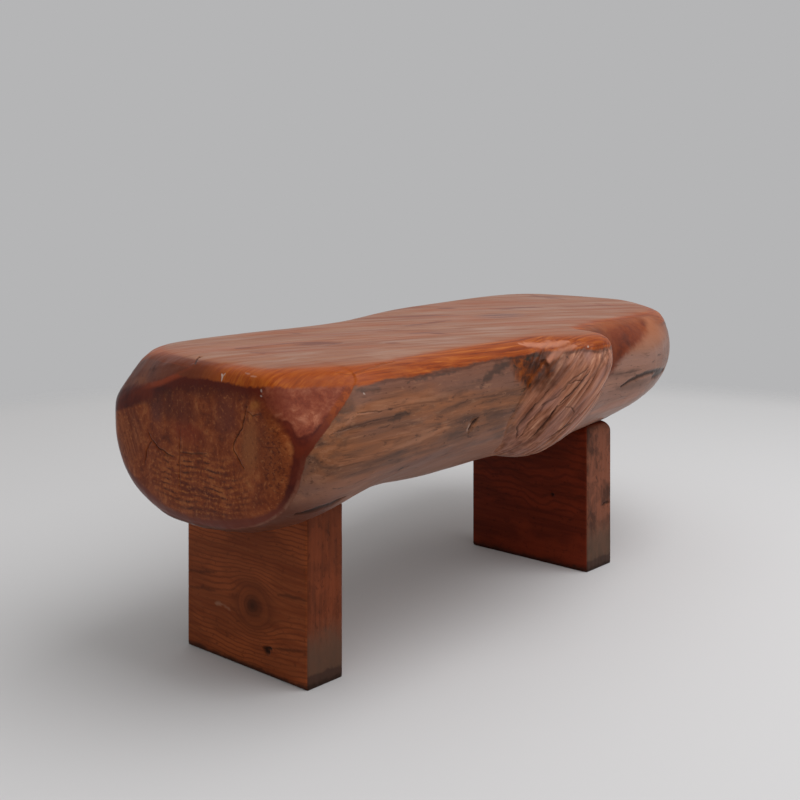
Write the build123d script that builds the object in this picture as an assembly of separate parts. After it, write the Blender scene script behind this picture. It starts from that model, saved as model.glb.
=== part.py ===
from build123d import *
from collections import namedtuple
import math
import os

# A rustic bench: half a log, sawn flat on top, standing on two thick boards.
# Millimetres. While the pieces are made, X runs along the log from its near
# end, Y runs across it from the legs' centre line towards the back, and Z
# rises from the floor. The finished pieces are then moved so that the origin
# lies on the floor under the middle of the bench.

# ---- Seat log -------------------------------------------------------------
SEAT_HEIGHT = 430.0        # floor to the sawn seat
LOG_LENGTH = 1210.0        # near end to far end
FRONT_REACH = 244.0        # legs' centre line to the log's widest point at the front
BACK_REACH = 346.0         # legs' centre line to its widest point at the back
LOG_DEPTH = 222.0          # seat down to the lowest bark line
WIDEST_BELOW_SEAT = 84.0   # depth at which the log is widest
CROWN_ABOVE_WIDEST = 150.0 # how far the round log rose above that before it was sawn
UNDERSIDE_LEAN = 0.05      # how much the underside falls towards the back
LOWER_BACK_FULLNESS = 2.4  # superellipse powers: 2 is round, more is squarer
UPPER_BACK_FULLNESS = 3.0
POINTS_PER_SECTION = 32

# The log at stations along its length: the share of the length, of the front
# reach, of the back reach and of the belly below the widest line, and then the
# fullness of the upper and of the lower front.
Station = namedtuple("Station", "along front back belly upper_front lower_front")
STATIONS = (
    Station(0.000, 0.810, 0.405, 0.826, 2.3, 2.3),
    Station(0.012, 0.910, 0.463, 0.942, 2.3, 2.3),
    Station(0.031, 0.975, 0.509, 1.000, 2.3, 2.3),
    Station(0.068, 1.000, 0.555, 0.986, 2.3, 2.3),
    Station(0.142, 0.992, 0.602, 0.832, 2.3, 2.3),
    Station(0.241, 0.942, 0.607, 0.880, 2.3, 2.3),
    Station(0.341, 0.909, 0.601, 0.877, 2.4, 2.4),
    Station(0.423, 0.885, 0.659, 0.895, 2.5, 2.5),
    Station(0.506, 0.811, 0.769, 0.957, 2.7, 2.9),
    Station(0.605, 0.737, 0.876, 0.957, 3.0, 2.8),
    Station(0.721, 0.737, 0.948, 0.900, 3.0, 2.4),
    Station(0.795, 0.670, 0.983, 0.830, 3.0, 2.15),
    Station(0.861, 0.525, 1.000, 0.765, 2.9, 2.0),
    Station(0.919, 0.303, 0.995, 0.681, 2.6, 2.0),
    Station(0.969, 0.030, 0.925, 0.464, 2.3, 2.0),
    Station(1.000, -0.320, 0.765, 0.203, 2.2, 2.0),
)

# ---- Burl lobe on the front of the log: a leaning ellipsoid ---------------
LOBE_ALONG = 558.0         # near end to the lobe's middle
LOBE_BELOW_SEAT = 78.0     # seat to its middle
LOBE_SUNK = 20.0           # its middle lies this far inside the log's front skin
LOBE_LENGTH = 284.0        # along its own lean
LOBE_THICKNESS = 148.0     # out from the log
LOBE_WIDTH = 156.0         # across its lean
LOBE_RISE = 36.0           # degrees, up towards the far end
LOBE_SWING = 14.0          # degrees, out from the log's line

# ---- Hewn facets at the near end ------------------------------------------
# Each cuts off a corner. Its three takes are measured from that corner along
# the log, across it and down.
FRONT_FACET_TAKES = (153.0, 101.0, 127.0)
BACK_FACET_TAKES = (123.0, 134.0, 128.0)
END_FACET_TAKES = (57.0, 242.0, 92.0)    # a shallower one, from the same back corner
BACK_CORNER_SHARE = 0.60   # the back reach at the near end's corner

# ---- Hewn scoop in the front, beyond the lobe -----------------------------
SCOOP_ALONG = 725.0        # near end to where the scoop starts on the seat
SCOOP_FRONT = 149.0        # legs' centre line to that place
SCOOP_SWING = 4.0          # degrees between its edge on the seat and the log's line
SCOOP_FALL = 52.0          # degrees, from the seat down
SCOOP_UNDERCUT = 41.0      # degrees, how far its near wall leans under the lobe
SCOOP_ROUND = 35.0         # radius between its face and that wall
SCOOP_CUTTER = (700.0, 900.0, 300.0)

# ---- Legs -----------------------------------------------------------------
LEG_WIDTH = 248.0
NEAR_LEG_THICKNESS = 66.0
FAR_LEG_THICKNESS = 77.0
NEAR_OVERHANG = 112.0      # log's near end to the near leg's outer face
LEG_CENTRES = 662.0        # near leg's middle plane to the far leg's
NEAR_HOUSING = 24.0        # lowest bark line up to the near leg's head
FAR_HOUSING = 42.0
HOUSING_CLEARANCE = 0.5    # round each leg's head
LEG_EDGE_ROUND = 2.5       # worn upright edges
FAR_LEG_SHOULDER = 18.0    # rounding of the far leg's front top corner

# ---- Hidden dowels between each leg and the log ---------------------------
DOWEL_DIAMETER = 25.0
DOWEL_LENGTH = 120.0       # half in the leg, half in the log
DOWEL_INSET = 57.0         # leg's side to the dowel's axis
DOWEL_CLEARANCE = 0.1      # round the dowel
DOWEL_END_GAP = 2.0        # glue space above it
DOWEL_CHAMFER = 2.0


def front_reach_at(along):
    """Legs' centre line to the log's front, with straight steps between the stations."""
    share = along / LOG_LENGTH
    for before, after in zip(STATIONS, STATIONS[1:]):
        if share <= after.along:
            part = (share - before.along) / (after.along - before.along)
            return FRONT_REACH * (before.front + part * (after.front - before.front))
    return FRONT_REACH * STATIONS[-1].front


def section_point(station, angle):
    """A point of the round log's skin, where angle 0 looks to the back and 90 degrees up."""
    front = FRONT_REACH * station.front
    back = BACK_REACH * station.back
    middle = (back - front) / 2
    half_width = (back + front) / 2
    across, up = math.cos(angle), math.sin(angle)
    if up > 0:
        height = CROWN_ABOVE_WIDEST
        fullness = UPPER_BACK_FULLNESS if across > 0 else station.upper_front
    else:
        height = (LOG_DEPTH - WIDEST_BELOW_SEAT) * station.belly
        fullness = LOWER_BACK_FULLNESS if across > 0 else station.lower_front
    sum_of_powers = abs(across / half_width) ** fullness + abs(up / height) ** fullness
    radius = sum_of_powers ** (-1 / fullness)
    lean = UNDERSIDE_LEAN * max(0.0, -up) * radius * across
    return (
        LOG_LENGTH * station.along,
        middle + radius * across,
        SEAT_HEIGHT - WIDEST_BELOW_SEAT + radius * up - lean,
    )


def log_section(station):
    angles = [2 * math.pi * step / POINTS_PER_SECTION for step in range(POINTS_PER_SECTION)]
    return Wire([Edge.make_spline([section_point(station, angle) for angle in angles], periodic=True)])


def burl_lobe():
    middle = (LOBE_ALONG, LOBE_SUNK - front_reach_at(LOBE_ALONG), SEAT_HEIGHT - LOBE_BELOW_SEAT)
    lobe = scale(Sphere(1), by=(LOBE_LENGTH / 2, LOBE_THICKNESS / 2, LOBE_WIDTH / 2))
    return Location(middle) * Rot(Z=-LOBE_SWING) * Rot(Y=-LOBE_RISE) * lobe


def cut_corner(solid, corner, takes, side):
    """Saws off a corner by the plane through three points; side is -1 at the front, 1 at the back."""
    along, across, down = takes
    x, y, z = corner
    a = Vector(x + along, y, z)
    b = Vector(x, y - side * across, z)
    c = Vector(x, y, z - down)
    outward = (b - a).cross(c - a)
    if outward.Z < 0:
        outward = outward * -1
    return split(solid, bisect_by=Plane(origin=a, z_dir=outward), keep=Keep.BOTTOM)


def scoop():
    """What was hewn away: its underside and its near wall shape the log."""
    cutter = Box(*SCOOP_CUTTER, align=(Align.MIN, Align.CENTER, Align.MIN))
    foot = cutter.edges().filter_by(Axis.Y).group_by(Axis.Z)[0].sort_by(Axis.X)[0]
    cutter = fillet(foot, SCOOP_ROUND)
    start = Pos(SCOOP_ALONG, -SCOOP_FRONT, SEAT_HEIGHT)
    return start * Rot(Z=SCOOP_SWING) * Rot(X=SCOOP_FALL) * Rot(Z=-SCOOP_UNDERCUT) * cutter


def round_log():
    skin = Solid.make_loft([log_section(station) for station in STATIONS])
    log = Part() + skin + burl_lobe()
    log = split(log, bisect_by=Plane.XY.offset(SEAT_HEIGHT), keep=Keep.BOTTOM)
    log = cut_corner(log, (0, -FRONT_REACH, SEAT_HEIGHT), FRONT_FACET_TAKES, -1)
    back_corner = (0, BACK_REACH * BACK_CORNER_SHARE, SEAT_HEIGHT)
    log = cut_corner(log, back_corner, BACK_FACET_TAKES, 1)
    return cut_corner(log, back_corner, END_FACET_TAKES, 1) - scoop()


def head_height(housing):
    """Floor to the top of a leg."""
    return SEAT_HEIGHT - LOG_DEPTH + housing


def leg_board(middle, thickness, housing):
    board = Pos(middle, 0, 0) * Box(
        thickness, LEG_WIDTH, head_height(housing), align=(Align.CENTER, Align.CENTER, Align.MIN)
    )
    return fillet(board.edges().filter_by(Axis.Z), LEG_EDGE_ROUND)


def housing_cut(middle, thickness, housing):
    return Pos(middle, 0, 0) * Box(
        thickness + 2 * HOUSING_CLEARANCE,
        LEG_WIDTH + 2 * HOUSING_CLEARANCE,
        head_height(housing),
        align=(Align.CENTER, Align.CENTER, Align.MIN),
    )


def dowel_places(middle, housing):
    """The middles of a leg's two dowels, at the height of the leg's head."""
    out = LEG_WIDTH / 2 - DOWEL_INSET
    return [Pos(middle, side * out, head_height(housing)) for side in (-1, 1)]


def dowel_hole():
    return Pos(0, 0, -DOWEL_LENGTH / 2) * Cylinder(
        DOWEL_DIAMETER / 2 + DOWEL_CLEARANCE,
        DOWEL_LENGTH + DOWEL_END_GAP,
        align=(Align.CENTER, Align.CENTER, Align.MIN),
    )


def dowel():
    pin = Cylinder(DOWEL_DIAMETER / 2, DOWEL_LENGTH)
    return chamfer(pin.edges().filter_by(GeomType.CIRCLE), DOWEL_CHAMFER)


def bench():
    near_middle = NEAR_OVERHANG + NEAR_LEG_THICKNESS / 2
    legs = {
        "near": (near_middle, NEAR_LEG_THICKNESS, NEAR_HOUSING),
        "far": (near_middle + LEG_CENTRES, FAR_LEG_THICKNESS, FAR_HOUSING),
    }
    pieces = {"seat_log": round_log()}
    for name, (middle, thickness, housing) in legs.items():
        board = leg_board(middle, thickness, housing)
        if name == "far":
            top_edges = board.edges().group_by(Axis.Z)[-1]
            front_top = top_edges.filter_by(Axis.X).sort_by(Axis.Y)[0]
            board = fillet(front_top, FAR_LEG_SHOULDER)
        pieces["seat_log"] -= housing_cut(middle, thickness, housing)
        for side, place in zip(("front", "back"), dowel_places(middle, housing)):
            pieces["seat_log"] -= place * dowel_hole()
            board -= place * dowel_hole()
            pieces[f"{name}_{side}_dowel"] = place * dowel()
        pieces[f"{name}_leg"] = board
    return pieces


def centred(pieces):
    """Moves the pieces so that the origin is on the floor under the middle of the bench."""
    boxes = [piece.bounding_box() for piece in pieces.values()]
    west, east = min(box.min.X for box in boxes), max(box.max.X for box in boxes)
    south, north = min(box.min.Y for box in boxes), max(box.max.Y for box in boxes)
    shift = Pos(-(west + east) / 2, -(south + north) / 2, -min(box.min.Z for box in boxes))
    return {name: shift * piece for name, piece in pieces.items()}


os.makedirs("parts", exist_ok=True)
for node, shape in centred(bench()).items():
    export_step(shape, f"parts/{node}.step")
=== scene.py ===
import math
from collections import namedtuple

import bmesh
import bpy
import numpy as np
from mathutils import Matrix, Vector


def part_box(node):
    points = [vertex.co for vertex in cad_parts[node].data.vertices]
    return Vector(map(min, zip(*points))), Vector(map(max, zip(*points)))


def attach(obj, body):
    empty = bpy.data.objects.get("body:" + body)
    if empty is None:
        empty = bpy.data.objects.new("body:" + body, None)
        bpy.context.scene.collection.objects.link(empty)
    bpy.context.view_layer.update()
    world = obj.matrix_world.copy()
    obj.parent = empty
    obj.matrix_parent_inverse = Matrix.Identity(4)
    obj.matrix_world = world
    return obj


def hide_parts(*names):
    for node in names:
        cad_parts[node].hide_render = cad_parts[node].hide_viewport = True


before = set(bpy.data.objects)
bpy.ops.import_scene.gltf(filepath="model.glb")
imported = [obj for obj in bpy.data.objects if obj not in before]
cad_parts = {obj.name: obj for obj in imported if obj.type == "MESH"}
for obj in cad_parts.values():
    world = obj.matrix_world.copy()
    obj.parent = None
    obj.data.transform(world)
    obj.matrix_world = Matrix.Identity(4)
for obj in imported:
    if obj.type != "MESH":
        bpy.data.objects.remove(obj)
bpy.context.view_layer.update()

# Everything is in metres in the bench's own frame: X along the log from the
# near end to the far tail, -Y the front with the burl lobe, Z up.
LOG_LOW, LOG_HIGH = (np.array(corner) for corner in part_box("seat_log"))
SEAT = LOG_HIGH[2]
NEAR_END = LOG_LOW[0]
FAR_END = LOG_HIGH[0]
LEG_BOXES = [np.array(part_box(leg)) for leg in ("near_leg", "far_leg")]
HASH_PRIMES = np.array((73856093, 19349663, 83492791))


# ---- Small tools for points -------------------------------------------------
def noise(points, seed):
    """Smooth noise from about -1 to 1 at each row of points, the same on every run."""
    cell = np.floor(points).astype(np.int64)
    inside = points - cell
    blend = inside**3 * (inside * (inside * 6 - 15) + 10)
    total = np.zeros(len(points))
    for corner in np.ndindex(2, 2, 2):
        corner = np.array(corner)
        key = ((cell + corner) * HASH_PRIMES).sum(1) + seed * 7919
        key = ((key ^ (key >> 13)) * 1274126177) & 0x3FFFFFFF
        slope = np.stack([key & 1023, (key >> 10) & 1023, (key >> 20) & 1023], 1) / 511.5 - 1
        weight = np.where(corner, blend, 1 - blend).prod(1)
        total += weight * ((inside - corner) * slope).sum(1)
    return total * 1.5


def fractal(points, seed, octaves):
    """Noise with finer noise added, each octave half as strong and twice as fine."""
    return sum(noise(points * 2**k, seed + k) / 2**k for k in range(octaves))


def step(low, high, value):
    """0 at low, 1 at high and a smooth rise between; low may be the larger one."""
    t = np.clip((value - low) / (high - low), 0, 1)
    return t * t * (3 - 2 * t)


def path_distance(points, path):
    """Distance from each point to a path of straight stretches, and the share of it passed there."""
    best = np.full(len(points), 1e9)
    along = np.zeros(len(points))
    path = np.array(path, float)
    lengths = np.linalg.norm(np.diff(path, axis=0), axis=1)
    starts = np.concatenate([[0], np.cumsum(lengths)])
    for start, end, length, before in zip(path, path[1:], lengths, starts):
        share = np.clip((points - start) @ (end - start) / length**2, 0, 1)
        gap = np.linalg.norm(points - start - share[:, None] * (end - start), axis=1)
        nearer = gap < best
        best[nearer] = gap[nearer]
        along[nearer] = (before + share * length)[nearer] / starts[-1]
    return best, along


# ---- Small tools for meshes -------------------------------------------------
def read(items, name, width=3):
    """One row of numbers for each of a mesh's points or edges."""
    values = np.empty(len(items) * width)
    items.foreach_get(name, values)
    return values.reshape(-1, width)


def move_points(mesh, points):
    mesh.vertices.foreach_set("co", points.ravel())
    mesh.update()


def smooth(mesh, strength, rounds):
    """Draws each point towards the middle of its neighbours, as sanding does."""
    points = read(mesh.vertices, "co")
    pairs = read(mesh.edges, "vertices", 2).astype(np.int64)
    count = len(points)
    neighbours = np.bincount(pairs.ravel(), minlength=count)
    for _ in range(rounds):
        for axis in range(3):
            value = points[:, axis]
            total = np.bincount(pairs[:, 0], value[pairs[:, 1]], count)
            total += np.bincount(pairs[:, 1], value[pairs[:, 0]], count)
            points[:, axis] = value + strength * (total / neighbours - value)
    move_points(mesh, points)


def refine(mesh, needed):
    """Splits the faces in the places where more detail is needed."""
    form = bmesh.new()
    form.from_mesh(mesh)
    middles = np.array([face.calc_center_median() for face in form.faces])
    normals = np.array([face.normal for face in form.faces])
    chosen = needed(middles, normals)
    edges = {edge for face, wanted in zip(form.faces, chosen) if wanted for edge in face.edges}
    bmesh.ops.subdivide_edges(form, edges=list(edges), cuts=1, use_grid_fill=True)
    form.to_mesh(mesh)
    form.free()


def store(mesh, name, values):
    layer = mesh.attributes.new(name, "FLOAT", "POINT")
    layer.data.foreach_set("value", np.clip(values, 0, 1).astype(np.float32))


def carving_block(node, name, voxel):
    """A new piece with the shape of a CAD node, in even small faces that can be carved."""
    piece = bpy.data.objects.new(name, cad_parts[node].data.copy())
    bpy.context.collection.objects.link(piece)
    form = bmesh.new()
    form.from_mesh(piece.data)
    bmesh.ops.remove_doubles(form, verts=form.verts, dist=1e-5)
    form.to_mesh(piece.data)
    form.free()
    remesh = piece.modifiers.new("even_faces", "REMESH")
    remesh.mode = "VOXEL"
    remesh.voxel_size = voxel
    evaluated = piece.evaluated_get(bpy.context.evaluated_depsgraph_get())
    mesh = bpy.data.meshes.new_from_object(evaluated)
    piece.modifiers.clear()
    piece.data = mesh
    mesh.materials.clear()
    mesh.name = name
    return piece


# ---- Lines and areas drawn on the wood --------------------------------------
# A path lies in the plane that its side is seen in, and marks only what faces
# that way. A side has the columns of its two coordinates, the column of the
# normal, and where the normal starts and ends being turned that way.
Line = namedtuple("Line", "side path width strength")
Area = namedtuple("Area", "side outline")
Side = namedtuple("Side", "columns axis turned")
SIDES = {
    "front": Side((0, 2), 1, (-0.05, -0.30)),
    "end": Side((1, 2), 0, (-0.45, -0.75)),
    "top": Side((0, 1), 2, (0.80, 0.95)),
}
AREA_REACH = 0.012  # how far either side of its outline an area's value still changes


def metres(*path):
    """A path given in millimetres."""
    return tuple((first / 1000, second / 1000) for first, second in path)


def drawn(side, *rows):
    """Lines on one side from rows of width, strength and points, in millimetres."""
    return tuple(Line(side, metres(*path), width / 1000, strength) for width, strength, *path in rows)


def outlined(side, *path):
    """An area on one side from its outline, in millimetres."""
    return Area(side, metres(*path))


def lines_on(points, normals, lines, wobble=0.0012):
    """How strongly each point is touched by the lines, up to their strength."""
    shift = wobble * np.stack([fractal(points * 80, seed, 2) for seed in (71, 72, 73)], 1)
    total = np.zeros(len(points))
    for line in lines:
        side = SIDES[line.side]
        gap, along = path_distance((points + shift)[:, side.columns], line.path)
        width = line.width * (0.45 + 0.55 * step(0, 0.25, along) * step(1, 0.75, along))
        touch = step(1, 0.25, gap / width) * step(*side.turned, normals[:, side.axis])
        total = np.maximum(total, touch * line.strength)
    return total


def area_value(gap, inside):
    """0.5 on an outline, up to 1 inside it and down to 0 outside."""
    return np.clip(0.5 + np.where(inside, 0.5, -0.5) * gap / AREA_REACH, 0, 1)


def area_on(points, normals, area):
    """The area's value where a point faces its side, and less where it turns away."""
    side = SIDES[area.side]
    flat = points[:, side.columns]
    outline = np.array(area.outline + area.outline[:1])
    inside = np.zeros(len(points), bool)
    for (start, low), (end, high) in zip(outline, outline[1:]):
        if low != high:
            crossing = start + (flat[:, 1] - low) / (high - low) * (end - start)
            inside ^= ((low > flat[:, 1]) != (high > flat[:, 1])) & (flat[:, 0] < crossing)
    value = area_value(path_distance(flat, outline)[0], inside)
    return value * step(*side.turned, normals[:, side.axis])


def close_to(points, normals, lines, reach):
    """True for what lies on a line or within reach of it."""
    near = np.zeros(len(points), bool)
    for line in lines:
        side = SIDES[line.side]
        gap = path_distance(points[:, side.columns], line.path)[0]
        near |= (gap < line.width + reach) & (step(*side.turned, normals[:, side.axis]) > 0)
    return near


# ---- Seat log: marks --------------------------------------------------------
# Cracks, carved in and painted near-black; the black is partly painted shade inside them.
CRACKS = drawn(
    "front",
    # the lobe
    (1.8, 0.5, (-42, 384), (-78, 367), (-122, 335)),
    (2.2, 0.8, (-40, 378), (-63, 361), (-97, 337)),
    (2.2, 0.8, (-102, 333), (-114, 314), (-132, 287)),
    (1.5, 0.5, (-84, 342), (-101, 331), (-120, 310), (-134, 283)),
    (2.1, 0.7, (-131, 337), (-141, 323), (-156, 304), (-152, 288)),
    (1.5, 0.5, (-96, 354), (-122, 333), (-141, 307), (-149, 284)),
    (2.4, 0.8, (-55, 316), (-66, 302), (-109, 281)),
    (1.7, 0.6, (-79, 365), (-101, 346), (-124, 335)),
    (1.5, 0.4, (-110, 358), (-123, 343), (-133, 333)),
    (1.3, 0.6, (-83, 362), (-68, 367), (-58, 366), (-67, 356), (-84, 347)),
    (1.3, 0.5, (-90, 330), (-77, 328), (-66, 319), (-71, 309)),
    # the natural side
    (5.6, 1.0, (185, 320), (222, 328), (262, 333), (310, 332), (380, 324)),
    (1.4, 0.45, (-519, 378), (-479, 375)),
    (1.3, 0.3, (-554, 358), (-535, 362), (-498, 365), (-429, 366)),
    (1.4, 0.4, (-487, 354), (-463, 356)),
    (2.6, 1.0, (-263, 336), (-274, 327), (-284, 317)),
    (4, 0.3, (-422, 285), (-398, 289)),
    (5, 1.0, (-576, 258), (-548, 262), (-531, 264), (-512, 269)),
    # the tail's wide dark band: a crack with a painted shadow under its flap
    (10, 1.0, (300, 321), (325, 325), (372, 325)),
    (1.2, 0.25, (-516, 422), (-502, 420), (-474, 424), (-411, 427)),
) + drawn(
    "end",
    (1.3, 0.9, (23, 327), (15, 318), (3, 311), (-18, 304), (-33, 303)),
    (1, 0.5, (15, 318), (26, 304), (29, 286)),
    (1, 0.45, (-46, 341), (-44, 323), (-44, 262)),
    (1.3, 0.9, (-176, 386), (-172, 375), (-166, 357), (-151, 337), (-150, 328), (-170, 308)),
    (1, 0.6, (-176, 379), (-186, 375), (-199, 379)),
    (1.6, 0.6, (-46, 311), (-70, 312), (-98, 316)),
) + drawn("top", (1.8, 0.9, (-560, -30), (-584, -50), (-600, -66)))
# Wide hollows, whose strength is their depth in metres.
VALLEYS = drawn(
    "front",
    (16, 0.0045, (-103, 392), (-142, 344), (-172, 312), (-166, 270)),
    (9, 0.003, (-286, 322), (-270, 334)),
)
SHARP_SMEARS = drawn(
    "front",
    (7.5, 0.8, (-506, 403), (-470, 402)),
    (4, 0.9, (-417, 403), (-371, 403), (-317, 404), (-252, 406)),
    (8.5, 0.9, (-254, 377), (-234, 386), (-205, 396), (-165, 402)),
    (7, 1.0, (-216, 388), (-185, 399)),
)
SMEARS = SHARP_SMEARS + drawn(
    "front",
    (9, 0.75, (-434, 372), (-353, 375), (-305, 379), (-250, 383)),
    (5, 0.8, (-468, 362), (-425, 366)),
    (12, 0.6, (-455, 330), (-409, 335), (-355, 338)),
    (11, 0.65, (-333, 314), (-313, 321), (-285, 327)),
    (4.5, 0.8, (-554, 343), (-538, 344)),
    (17, 0.25, (-571, 304), (-475, 311), (-373, 316), (-260, 300)),
    (24, 0.45, (-245, 340), (-215, 325), (-195, 300)),
    (12, 0.4, (-520, 392), (-548, 375)),
    (8, 0.8, (140, 343), (202, 340), (240, 341)),
    (12, 0.4, (170, 318), (260, 318), (340, 316)),
)
BLACK_SPOTS = drawn(
    "front",
    (5, 1.0, (-135, 402), (-122, 406), (-100, 405)),
    (5, 0.9, (-128, 365), (-136, 361)),
    (3, 0.8, (-146, 358), (-160, 357)),
    (4.5, 0.8, (-166, 394), (-160, 390)),
    (2.2, 1.0, (-68, 401), (-67, 400)),
    (4, 1.0, (-413, 287), (-409, 288)),
    (2.2, 0.8, (-340, 310), (-339, 309)),
    (1.8, 0.7, (-300, 345), (-299, 344)),
) + drawn(
    "end",
    (4.5, 0.8, (-128, 402), (-134, 403)),
    (3.6, 0.6, (-106, 397), (-112, 398)),
    (7, 0.8, (-182, 262), (-190, 263)),
    (5, 0.4, (-220, 290), (-228, 302)),
    (3.5, 0.5, (-120, 265), (-121, 259)),
    (5, 0.5, (-28, 249), (-33, 248)),
    (5, 0.5, (6, 246), (10, 243)),
)
NICKS = drawn(
    "front",
    (1.6, 0.6, (-500, 399), (-499, 397)),
    (2.6, 0.45, (-279, 329), (-288, 320)),
    (1.8, 0.6, (-29, 412), (-26, 414)),
) + drawn(
    "end",
    (1.8, 0.9, (-118, 418), (-122, 415), (-123, 410)),
    (1.4, 0.7, (-124, 419), (-122, 415)),
    (1.5, 0.5, (-156, 423), (-166, 422)),
    (1.3, 0.4, (-170, 420), (-180, 420)),
    (1.4, 0.6, (-193, 407), (-195, 404)),
    (1.3, 0.5, (-195, 400), (-197, 398)),
)
# Painted highlights: pink and pale lines where the lacquer catches the light, on the lobe's crest and right
# rim and along the tail's lower edge.
PAINTED_HIGHLIGHTS = drawn(
    "front",
    (5.5, 0.8, (-126, 421), (-87, 417), (-51, 421)),
    (5, 0.7, (-47, 415), (-67, 410), (-83, 404), (-97, 395)),
    (4.5, 0.6, (10, 364), (-19, 343), (-41, 312), (-52, 295), (-78, 281)),
    (3.5, 0.5, (22, 408), (26, 390), (18, 372)),
    (10, 0.35, (110, 284), (190, 288), (280, 300)),
)
SEAT_STREAKS = drawn(
    "top",
    (9.5, 0.9, (-466, -15), (-420, -12), (-381, -26), (-339, -58)),
    (14.7, 1.0, (-480, -14), (-466, -16)),
    (10.5, 0.7, (-493, -53), (-489, -82)),
    (10.5, 0.8, (-309, 65), (-299, 54)),
    (8.4, 0.5, (-492, 69), (-442, 57)),
    (7.5, 0.8, (-390, -44), (-374, -48), (-360, -64), (-339, -73), (-380, -84), (-391, -58)),
    (15.8, 0.8, (-10, 129), (22, 95), (79, 52)),
    (14.7, 0.8, (153, 156), (187, 143)),
    (11.5, 0.7, (-111, 1), (-60, 2), (6, 7)),
    (12.6, 0.8, (-188, -71), (-157, -88), (-154, -125)),
    (12.6, 0.6, (-45, 169), (7, 201)),
    (16.8, 0.8, (220, 82), (250, 66), (299, 43)),
    (12.6, 0.7, (-294, -123), (-289, -138)),
    (13, 0.7, (530, 217), (498, 170), (473, 90)),
    (14.7, 0.6, (212, 52), (279, 62), (306, -12)),
    (12, 0.6, (439, -7), (420, -50)),
    (10.5, 0.5, (-230, 20), (-120, -70)),
    (11.5, 0.5, (-330, 130), (-210, 80)),
    (14.7, 0.5, (60, 200), (170, 215)),
)

AREAS = {
    # the pink facet, whose pale pink is partly a painted reflection
    "pink_facet": outlined(
        "front",
        (-594, 414), (-562, 416), (-503, 417), (-522, 401), (-538, 387), (-555, 374), (-575, 360),
        (-590, 355), (-591, 372), (-601, 376), (-602, 387), (-598, 405),
    ),
    "end_grain": outlined(
        "end",
        (110, 300), (104, 344), (50, 360), (-5, 379), (-57, 396), (-117, 402), (-165, 396), (-187, 396),
        (-205, 386), (-228, 368), (-243, 355), (-249, 341), (-248, 327), (-243, 304), (-232, 282),
        (-214, 263), (-178, 248), (-116, 235), (-64, 228), (-15, 233), (39, 256), (90, 280),
    ),
    "dusky_facet": outlined(
        "end",
        (130, 440), (-40, 440), (-70, 428), (-47, 416), (-20, 406), (0, 398), (42, 388), (94, 379),
        (130, 369),
    ),
    "scoop_stain": outlined(
        "front",
        (90, 440), (300, 440), (330, 420), (305, 400), (258, 387), (214, 378), (183, 366), (160, 350),
        (130, 338), (90, 345),
    ),
}
# The edge where the hewn corner meets the natural side, as X at each Z.
CORNER_EDGE = metres(
    (-589, 200), (-589, 261), (-590, 290), (-591, 311), (-589, 332), (-577, 348), (-561, 361),
    (-543, 377), (-525, 392), (-513, 403), (-501, 414), (-495, 430),
)


# ---- Seat log: forms --------------------------------------------------------
LOG_VOXEL = 0.0080
CRACK_DEPTH = 0.0022
FLUTE_DEPTH = 0.0013
FIBRE_DEPTH = 0.0006
GROOVE_DEPTH = 0.0016
FINE_GROOVE_DEPTH = 0.0009
LOBE_WAVE_DEPTH = 0.0018
END_DEPTH = 0.0010
HEWN_DEPTH = 0.0008
SEAT_DEPTH = 0.0004
FIRM_MARGIN = 0.005  # how far round a leg's head nothing is smoothed
FLAT_MARGIN = 0.007  # and nothing is carved
LOBE_LINE = np.array((0.70, -0.20, 0.68))  # the way its fibres run
LOBE_LINE /= np.linalg.norm(LOBE_LINE)
LOBE_MIDDLE = np.array((-0.047, -0.229, 0.352))
LOBE_RADII = np.array((0.142, 0.074, 0.078))
SCOOP_OUT = np.array((0.055, -0.786, 0.616))  # the way the scoop's face looks
BEVEL_OUTER = -0.592  # where the bevel round the near end starts


def near_end_value(points):
    """Half on the edge of the near end's worked part, more towards the end."""
    x, y, z = points.T
    edge = np.array(CORNER_EDGE)
    front_gap = path_distance(points[:, (0, 2)], edge)[0]
    front = np.where(x < np.interp(z, edge[:, 1], edge[:, 0]), -front_gap, front_gap)
    share = step(-0.09, -0.12, y)
    beyond = share * front + (1 - share) * (x - BEVEL_OUTER)
    return area_value(np.abs(beyond), beyond < 0)


def lobe_axes():
    """The lobe's long axis, the way out through its skin, and the axis across both."""
    line = np.array((math.cos(math.radians(36)) * 0.97, -0.196, math.sin(math.radians(36))))
    line /= np.linalg.norm(line)
    out = np.array((-0.24, -0.97, 0.0))
    out -= line * (out @ line)
    out /= np.linalg.norm(out)
    return np.array((line, out, np.cross(line, out)))


LOBE_AXES = lobe_axes()


def lobe_share(points):
    """Distance from the lobe's middle, where 1 is its skin."""
    return np.linalg.norm((points - LOBE_MIDDLE) @ LOBE_AXES.T / LOBE_RADII, axis=1)


def near_housing(points, margin):
    """True within a margin of the flats that the legs' heads sit in."""
    inside = np.zeros(len(points), bool)
    for low, high in LEG_BOXES:
        inside |= ((points > low - margin) & (points < high + margin)).all(1)
    return inside


def on_lobe(points, normals):
    """1 on the lobe's outer skin below the seat's rounded edge, fading to 0 round it."""
    skin = step(1.20, 0.98, lobe_share(points) + 0.04 * noise(points * 40, 61))
    return skin * step(0.0, -0.35, normals[:, 1]) * step(0.420, 0.404, points[:, 2])


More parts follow.
